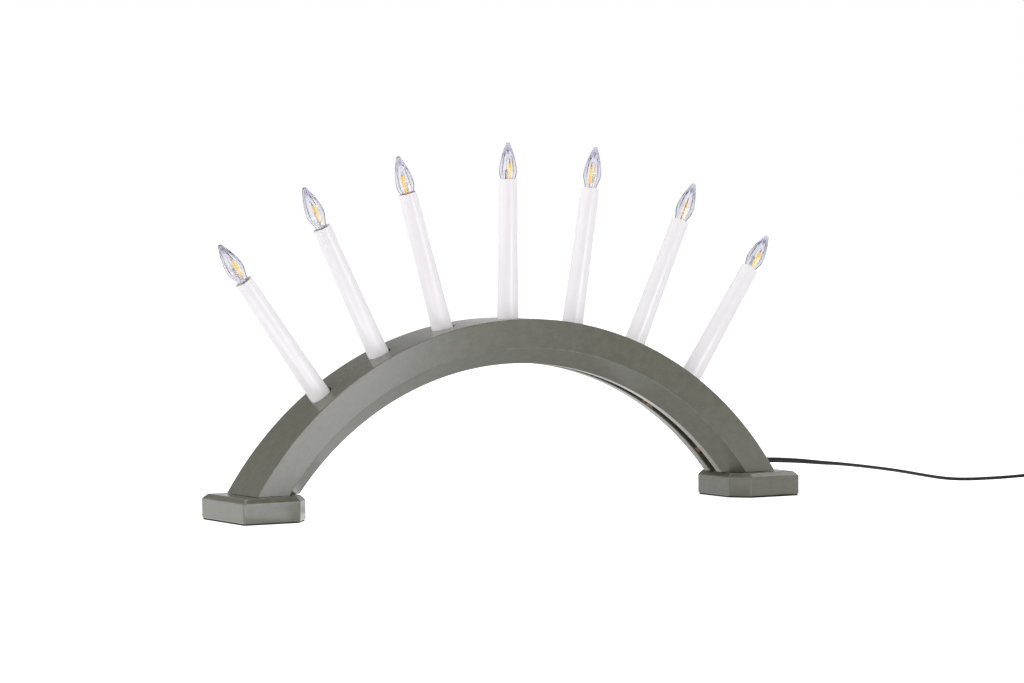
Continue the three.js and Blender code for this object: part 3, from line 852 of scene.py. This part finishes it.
def arch_cutters():
    """Seats and wire bores for the candles, pilot holes for the screws, and the lead's hole."""
    shapes = []
    bore = hypot(wire_spread, wire_lane) + wire_radius + tube_gap
    for place, (low, _, foot_radius, _, _) in zip(candles, tubes):
        seat = foot_radius + tube_gap + seat_play
        hole = stepped(low - bore_reach, [(bore, low - touch_gap), (seat, low + seat_reach)], 48)
        shapes.append(moved(hole, place @ Matrix.Translation((seat_play, 0, 0))))
    for low, high in screw_places:
        pilot = stepped(0, [(pilot_radius, high.z + touch_gap)], 24)
        shapes.append(over_middle(pilot, low, high))
    hole = stepped(wire_crossing, [(bush_radius + touch_gap, cord_mouth + cord_hole_reach)], 32)
    shapes.append(moved(hole, exit_frame))
    return shapes


make_arch()


# Feet: bevelled blocks with the two inner corners cut off, on felt
def foot_outline(node, inset, side):
    low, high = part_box(node)
    outer = max(abs(low.x), abs(high.x)) - inset
    inner = min(abs(low.x), abs(high.x)) + inset
    half = high.y - inset
    shrink = (foot_cut_length + foot_cut_depth - hypot(foot_cut_length, foot_cut_depth)) * inset
    along = foot_cut_length - shrink / foot_cut_depth
    across = foot_cut_depth - shrink / foot_cut_length
    corners = [(outer, -half), (outer, half), (inner + along, half), (inner, half - across),
               (inner, across - half), (inner + along, -half)]
    return [(side * x, y) for x, y in corners]


def make_foot(side, name):
    low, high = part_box(f"foot_{name}")
    corners = [(foot_under_reach, low.z), (0, low.z), (0, high.z - foot_bevel), (foot_bevel, high.z),
               (foot_top_reach, high.z)]
    profile, turns_in = rounded(corners, foot_edge_radius, closed=False)
    rings, shares = [], []
    for (inset, height), turn in zip(profile, turns_in):
        outline, corners = rounded(foot_outline(f"foot_{name}", inset, side), foot_corner_radius)
        rings.append([(x, y, height) for x, y in outline])
        shares += [max(turn, corner * (height < high.z - 1e-5)) for corner in corners]
    foot = make(f"wood_foot_{name}", loft(rings), [paint_foot, wood],
                stands_for=(f"foot_{name}",), sharp=block_sharp)
    mark_edges(foot, shares)
    holes = []
    for under, tip in screw_places:
        if under.x * side < 0:
            continue
        head = (tip.x - under.x) / 2 + touch_gap
        hole = stepped(0, [(head, under.z + screw_seat), (pilot_radius, tip.z)], 24)
        holes.append(over_middle(hole, under, tip))
    cut(foot, holes, wood)


def make_pad(side, name):
    node = f"felt_pad_{name}"
    low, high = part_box(node)
    rings = []
    for inset, height in ((0.0002, low.z), (0, low.z + 0.0002), (0, high.z - 0.0001), (0.0001, high.z)):
        corners = foot_outline(node, inset - pad_reach, side)
        outline, _ = rounded(corners, foot_corner_radius, 3)
        rings.append([(x, y, height) for x, y in outline])
    pad = make(f"felt_{name}", loft(rings), [felt_black], stands_for=(node,))


for side, name in ((-1, "left"), (1, "right")):
    make_foot(side, name)
    make_pad(side, name)
for number in screw_numbers:
    coats = frame["nodes"][f"foot_screw_{number}"].data.materials
    coats.clear()
    coats.append(steel)


# Candles
def make_tube(number, place, size):
    low, high, foot_radius, top_radius, _ = size
    corners = [(foot_radius - tube_wall, low), (foot_radius, low), (top_radius, high),
               (top_radius - tube_wall, high)]
    outline, _ = rounded(corners, rim_radius, 3)
    make(f"sleeve_{number}", turned(outline, 96, closed=True), [candle_white],
         stands_for=(f"candle_tube_{number}",), place=place)


def flame_radius(height, top, belly):
    if height < belly_height:
        rise = sin(pi / 2 * height / belly_height) ** 2
        return neck_radius + (belly - neck_radius) * rise
    tip_centre = top - tip_radius
    along = (height - belly_height) / (tip_centre - belly_height)
    if along < 1:
        return belly + (tip_radius - belly) * along ** flame_bulge
    return sqrt(max(tip_radius ** 2 - (height - tip_centre) ** 2, 0))


def fluted_ring(radius, height, top):
    """A ring with shallow hollow flutes between ridges, which die out at the neck and the tip."""
    fade = min(1, height / belly_height, (top - height) / (2 * tip_radius))
    ring = []
    for x, y, z in circle(1, height, 16 * flute_count):
        wave = abs(sin(flute_count / 2 * (atan2(y, x) - flute_turn)))
        reach = radius - flute_depth * fade * wave
        ring.append((reach * x, reach * y, z))
    return ring


def make_glass(number, place):
    """A thin fluted shell with a solid tip, open below."""
    low, top, _, _, belly = span(f"bulb_glass_{number}", place)
    tip_centre = top - tip_radius
    heights = [low + (tip_centre - low) * k / flame_steps for k in range(flame_steps + 1)]
    for k in range(1, tip_steps):
        heights.append(tip_centre + tip_radius * sin(pi / 2 * k / tip_steps))
    outside = [fluted_ring(flame_radius(height, top, belly), height, top) for height in heights]
    inside = []
    for k in range(hollow_steps + 1):
        height = low + (glass_roof - low) * sin(pi / 2 * k / hollow_steps)
        closing = sqrt(max(1 - ((height - belly_height) / (glass_roof - belly_height)) ** 4, 0))
        shrink = closing if height > belly_height else 1
        inside.append(fluted_ring((flame_radius(height, top, belly) - glass_wall) * shrink, height, top))
    rings = [[(0, 0, glass_roof)], *inside[-2::-1], *outside, [(0, 0, top)]]
    flame = make(f"flame_glass_{number}", loft(rings, caps=False), [glass], body=f"bulb_{number}",
                 stands_for=(f"bulb_glass_{number}",), place=place, sharp=40)
    flame.visible_shadow = False


def make_base(number, place):
    """A screw base: contact, dark insulator, a rolled thread and a collar."""
    low, high, _, _, _ = span(f"bulb_base_{number}", place)
    sides = 48
    shell = low + contact_height + insulator_height
    thread_end = shell + thread_turns * thread_pitch
    root = base_radius - thread_depth
    contact = [(0, low), (contact_radius * 0.7, low), (contact_radius, low + 0.0004),
               (contact_radius, low + contact_height), (root * 0.96, shell)]
    rings = [circle(radius, height, sides) for radius, height in contact]
    bands = [1, 1, 1, 2]
    rows = thread_turns * thread_rows
    for row in range(rows + 1):
        height = shell + (thread_end - shell) * row / rows
        fade = min(1, row / thread_rows, (rows - row) / thread_rows)
        ring = []
        for k in range(sides):
            turn = 2 * pi * k / sides
            wave = 0.5 - 0.5 * cos(2 * pi * (height - shell) / thread_pitch - turn)
            radius = root + thread_depth * wave * fade
            ring.append((radius * cos(turn), radius * sin(turn), height))
        rings.append(ring)
        bands.append(0)
    collar = [(base_radius, thread_end + 0.0003), (base_radius, high - 0.0002)]
    for radius, height in (*collar, (base_radius - 0.0002, high), (0, high)):
        rings.append(circle(radius, height, sides))
        bands.append(0)
    make(f"screw_base_{number}", loft(rings, caps=False), [nickel, nickel, insulator],
         body=f"bulb_{number}", stands_for=(f"bulb_base_{number}",), place=place,
         bands=bands)


def make_filament(number, place):
    """A coated stick between two metal tips, with its leads and the plate beside it."""
    top = stick_start + stick_length
    coat_low = stick_start + stick_tip
    coat_high = top - stick_tip
    below = [(0, coat_low), (stick_radius * 0.8, coat_low), (stick_radius, coat_low + stick_shoulder)]
    above = [(stick_radius, coat_high - stick_shoulder), (stick_radius * 0.8, coat_high), (0, coat_high)]
    stick = turned(below + above, 24)
    ends = []
    for start in (stick_start, coat_high - tip_overlap):
        ends.append(stepped(start, [(stick_tip_radius, start + stick_tip + tip_overlap)], 16))
    side = Matrix.Translation((stick_offset, 0, 0))
    stub = top + stub_length
    low, high = plate_span
    inner, outer = plate_reach
    middle = (inner + outer) / 2
    posts = [(stick_offset, (lead_foot, stick_start / 2, stick_start)),
             (stick_offset, (top, (top + stub) / 2, stub)),
             (middle, (lead_foot, low / 2, low))]
    over = smooth_through([(stick_offset, 0, stub), (stick_offset * 0.4, 0, stub + 0.0010),
                           (middle / 2, 0, stub + 0.0004), (middle, 0, top), (middle, 0, high)], 5)
    wires = [wire([Vector((x, 0, z)) for z in heights], lead_radius, 8) for x, heights in posts]
    wires.append(wire(over, hair_radius, 8))
    half = plate_thickness / 2
    outline, _ = rounded(rectangle(inner, -half, outer, half), half * 0.6, 3)
    plate = loft([[(x, y, height) for x, y in outline] for height in (low, high)])
    stem = turned(stem_outline, 24)
    shapes = [moved(stick, side), *(moved(end, side) for end in ends), *wires, plate, stem]
    turn = Matrix.Rotation(radians(stick_turns[number - 1]), 4, "Z")
    materials = [phosphor, lead_metal, plate_grey, holder_plastic]
    make(f"light_stick_{number}", moved(joined(shapes), turn), materials, body=f"bulb_{number}",
         stands_for=(f"filament_{number}",), place=place,
         bands=[0, 1, 1, 1, 1, 1, 1, 2, 3])


def make_holder(number, place, size):
    low, high, _, _, radius = size
    bore = radius - holder_wall
    floor = low + holder_floor
    outline = [(0, low), (radius, low), (radius, high), (bore, high), (bore, floor), (0, floor)]
    smooth, _ = rounded(outline, rim_radius, 3, closed=False)
    make(f"screw_holder_{number}", turned(smooth, 64), [holder_plastic],
         stands_for=(f"lamp_holder_{number}",), place=place)


for number, (place, tube, holder) in enumerate(zip(candles, tubes, holders), 1):
    make_tube(number, place, tube)
    make_holder(number, place, holder)
    make_base(number, place)
    make_glass(number, place)
    make_filament(number, place)


# Wiring: down each tube, round a bend and along the groove
def arch_point(radius, turn, y):
    return Vector((radius * sin(turn), y, arch_centre + radius * cos(turn)))


def arch_turn(point):
    return atan2(point.x, point.z - arch_centre)


def wire_drop(index, x, y, direction):
    """From under a lamp holder to the groove, bending left or right."""
    place, low = candles[index], tubes[index][0]
    up = place.to_3x3() @ Vector((0, 0, 1))
    foot = place @ Vector((x, y, low))
    bend_reach = wire_track + wire_bend
    offset = foot - Vector((0, y, arch_centre))
    ahead = offset.dot(up)
    fall = ahead - sqrt(ahead ** 2 - offset.length_squared + bend_reach ** 2)
    bend_top = foot - up * fall
    under = place @ Vector((x, y, holders[index][0] - touch_gap))
    middle = place @ Vector((x, y, low + seat_reach))
    points = [under, middle, foot, bend_top]
    start = arch_turn(bend_top)
    for part in wire_steps:
        turn = part * pi / 2
        radius = wire_track + wire_bend * (1 - sin(turn))
        swing = wire_bend * (1 - cos(turn)) / wire_track
        points.append(arch_point(radius, start + direction * swing, y))
    return points


def wire_run(start, end, y):
    first, last = arch_turn(start), arch_turn(end)
    count = ceil(abs(last - first) / wire_stride)
    return [arch_point(wire_track, first + (last - first) * k / count, y) for k in range(1, count)]


def lead_wire(index, x, y):
    """From a lamp holder to the end of the mains lead in the right leg."""
    core = copysign(core_spacing / 2, y)
    corner = Vector((wire_crossing, (y + core) / 2, cord_exit_height))
    turn_start = arch_point(wire_track, arch_turn(corner) - core_turn / wire_track, y)
    turn_end = Vector((wire_crossing + core_turn, core, cord_exit_height))
    bend = []
    for share in (0, *wire_steps):
        bend.append(turn_start.lerp(corner, share).lerp(corner.lerp(turn_end, share), share))
    finish = Vector((cord_inner_end - touch_gap, core, cord_exit_height))
    down = wire_drop(index, x, y, 1)
    return [*down, *wire_run(down[-1], turn_start, y), *bend, finish]


def make_wire(name, points, node):
    shape = wire(smooth_through(points, 4), wire_radius, 12)
    make(name, shape, [wire_brown], stands_for=(node,))


for index in range(candle_count - 1):
    down = wire_drop(index, wire_spread, -wire_lane, 1)
    rise = wire_drop(index + 1, -wire_spread, -wire_lane, -1)[::-1]
    make_wire(f"groove_wire_{index + 1}", [*down, *wire_run(down[-1], rise[0], -wire_lane), *rise],
              f"link_wire_{index + 1}")
make_wire("groove_supply", lead_wire(candle_count - 1, wire_spread, -wire_lane), "supply_wire")
make_wire("groove_return", lead_wire(0, -wire_spread, wire_lane), "return_wire")


# Floor, surroundings and soft lights
floor_size = 30
floor_drop = 0.0001
floor_glow = 0.75
floor_sheen = 0.25
glass_rise = (0.25, 0.45)
glass_glow = (1.0, 0.12)
glass_turn = (0.90, 0.45)
side_glow = (1.0, 0.25)
sheen_steps = ((0, 0.90), (0.10, 0.76), (0.20, 0.60), (0.29, 0.54), (0.37, 0.40), (0.43, 0.23))
sheen_tint = (0.98, 0.97, 1.0)
pool_tint = (0.97, 0.96, 1.03)
ambient_steps = ((0, 1.08), (0.40, 1.03), (0.85, 0.50))
backdrop_turn = 0.51497
pool_height = 0.001


def seen_directly(tree):
    """One for views, reflections and looks through glass and zero for lighting, and the ray's kinds."""
    path = add(tree, "LightPath", {}).outputs
    first = maths(tree, "MAXIMUM", path["Is Camera Ray"], path["Is Glossy Ray"])
    return maths(tree, "MAXIMUM", first, path["Is Transmission Ray"]), path


def make_floor():
    half = floor_size / 2
    corners = [(x, y, -floor_drop) for x, y in rectangle(-half, -half, half, half)]
    mesh = bpy.data.meshes.new("floor")
    mesh.from_pydata(corners, [], [(0, 1, 2, 3)])
    floor = in_scene("floor", mesh)
    material, tree, shader, _ = new_material("white_floor", {})
    tree.nodes.remove(shader)
    direct, path = seen_directly(tree)
    sheen = maths(tree, "MULTIPLY", direct, floor_sheen)
    shown = maths(tree, "MULTIPLY", path["Is Camera Ray"], floor_glow)
    glow = maths(tree, "MAXIMUM", sheen, shown)
    matte = add(tree, "BsdfDiffuse", {"Color": (0.8, 0.8, 0.8, 1)})
    shine = add(tree, "Emission", {"Color": (1, 1, 1, 1), "Strength": glow})
    both = add(tree, "AddShader", {0: matte.outputs[0], 1: shine.outputs[0]})
    link(tree, tree.nodes["Material Output"], Surface=both.outputs[0])
    mesh.materials.append(material)


def make_world():
    """White in view; glass shows a white backdrop that fades above and aside, reflections a grey one."""
    world = bpy.data.worlds.new("studio")
    scene.world = world
    world.use_nodes = True
    tree = world.node_tree
    direct, path = seen_directly(tree)
    direction = add(tree, "TexCoord", {}).outputs["Generated"]
    height = add(tree, "SeparateXYZ", {"Vector": direction}).outputs["Z"]
    ahead = (sin(backdrop_turn), cos(backdrop_turn), 0)
    facing = add(tree, "VectorMath", {0: direction, 1: ahead}, operation="DOT_PRODUCT")
    upward = mapped(tree, height, glass_rise, glass_glow, interpolation_type="SMOOTHSTEP")
    aside = mapped(tree, facing.outputs["Value"], glass_turn, side_glow, interpolation_type="SMOOTHSTEP")
    behind_glass = maths(tree, "MULTIPLY", upward, aside)
    tints = [(step, [glow * part for part in sheen_tint]) for step, glow in sheen_steps]
    sheen = ramp(tree, height, tints)
    backdrop = mix(tree, path["Is Transmission Ray"], sheen, behind_glass)
    shown = mix(tree, path["Is Camera Ray"], backdrop, (1, 1, 1, 1))
    dome = ramp(tree, height, [(step, [glow] * 3) for step, glow in ambient_steps])
    lit = add(tree, "Background", {"Color": dome, "Strength": 1})
    seen = add(tree, "Background", {"Color": shown, "Strength": 1})
    both = add(tree, "MixShader", {0: direct, 1: lit.outputs[0], 2: seen.outputs[0]})
    link(tree, tree.nodes["World Output"], Surface=both.outputs[0])


def softbox(name, place, aim, size, power):
    data = bpy.data.lights.new(name, "AREA")
    data.shape = "RECTANGLE"
    data.size, data.size_y = size
    data.energy = power
    lamp = in_scene(name, data)
    lamp.location = place
    lamp.rotation_mode = "QUATERNION"
    lamp.rotation_quaternion = (Vector(aim) - Vector(place)).to_track_quat("-Z", "Y")
    return lamp


def sheen_only(lamp):
    """Leaves a lamp for reflections alone, a little cool."""
    lamp.data.color = pool_tint
    lamp.visible_camera = False
    lamp.visible_diffuse = False
    lamp.visible_transmission = False


def sheen_pool(name, place, size, degrees, power):
    """A bright patch of table that only reflections see."""
    pool = softbox(name, (*place, pool_height), (*place, 1), size, power)
    pool.rotation_mode = "XYZ"
    pool.rotation_euler = (pi, 0, radians(degrees))
    sheen_only(pool)


make_floor()
make_world()
sheen_only(softbox("front_softbox", (0.28, -1.14, 0.26), (-0.2, -0.03, 0.1), (0.36, 0.5), 3.6))
sheen_only(softbox("front_fill", (0.56, -1.14, 0.26), (0, -0.03, 0.1), (0.2, 0.5), 0.25))
sheen_pool("front_pool", (0.077, -0.715), (0.3, 0.85), 26.4, 3.7)
sheen_pool("foot_pool", (-0.242, -0.2425), (0.2, 0.28), 26.4, 0.54)
sheen_pool("left_pool", (-0.34, 0.115), (0.24, 0.53), 26.2, 0.34)
sheen_pool("edge_pool", (-0.365, -0.13), (0.2, 0.12), -38, 0.36)
sheen_pool("chamfer_pool", (0.01, 0.05), (0.22, 0.16), 0, 0.037)
sheen_pool("middle_pool", (0.14, 0.14), (0.2, 0.35), 33, 0.14)
sheen_pool("corner_pool", (0.05, -0.145), (0.13, 0.25), -57.8, 0.14)
sheen_pool("right_pool", (0.48, -0.41), (0.4, 0.85), 32.7, 0.85)
softbox("overhead_softbox", (-0.3, 0, 1.9), (0, 0, 0.1), (1.8, 1.4), 7)
softbox("side_softbox", (-1.6, -0.6, 0.8), (0, 0, 0.1), (1.0, 1.0), 4)
softbox("right_softbox", (1.2, -0.1, 1.1), (0.2, 0, 0.05), (0.5, 0.5), 2.6)
softbox("left_bank", (-1.27, 0.59, 0.40), (0, 0, 0.2), (0.7, 0.9), 2.5)
softbox("right_bank", (1.1, -0.86, 0.40), (0, 0, 0.2), (0.6, 0.9), 1.4)
